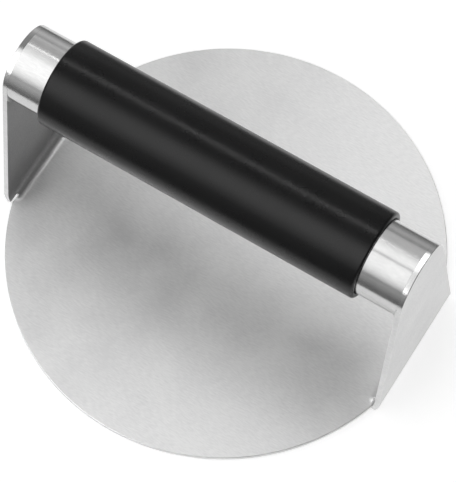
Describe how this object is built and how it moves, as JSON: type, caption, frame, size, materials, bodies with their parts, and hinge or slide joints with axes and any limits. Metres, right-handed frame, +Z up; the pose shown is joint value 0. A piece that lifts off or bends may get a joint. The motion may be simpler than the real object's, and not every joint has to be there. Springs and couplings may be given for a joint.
{
  "type": "bacon press",
  "caption": "Round flat stainless press for bacon and burgers, its two sides folded up to carry a tube handle with a sliding silicone grip sleeve.",
  "frame": {"origin": "centre of the underside of the round foot", "axes": "+Z up; the handle lies along X; Y runs across the handle, through the gap under it"},
  "size_m": [0.1404, 0.142, 0.0775],
  "materials": {
    "plate_steel": "satin",
    "tube_steel": "polished",
    "weld_steel": "dressed weld",
    "grip_silicone": "matt"
  },
  "bodies": {
    "press": {"press_plate": "plate_steel", "handle_tube": "tube_steel", "left_weld": "weld_steel", "right_weld": "weld_steel"},
    "grip": {"grip_sleeve": "grip_silicone"}
  },
  "joints": [
    {"name": "grip_slide", "type": "slide", "parent": "press", "child": "grip", "axis": [1, 0, 0], "range_m": [-0.0103, 0.0123]}
  ]
}
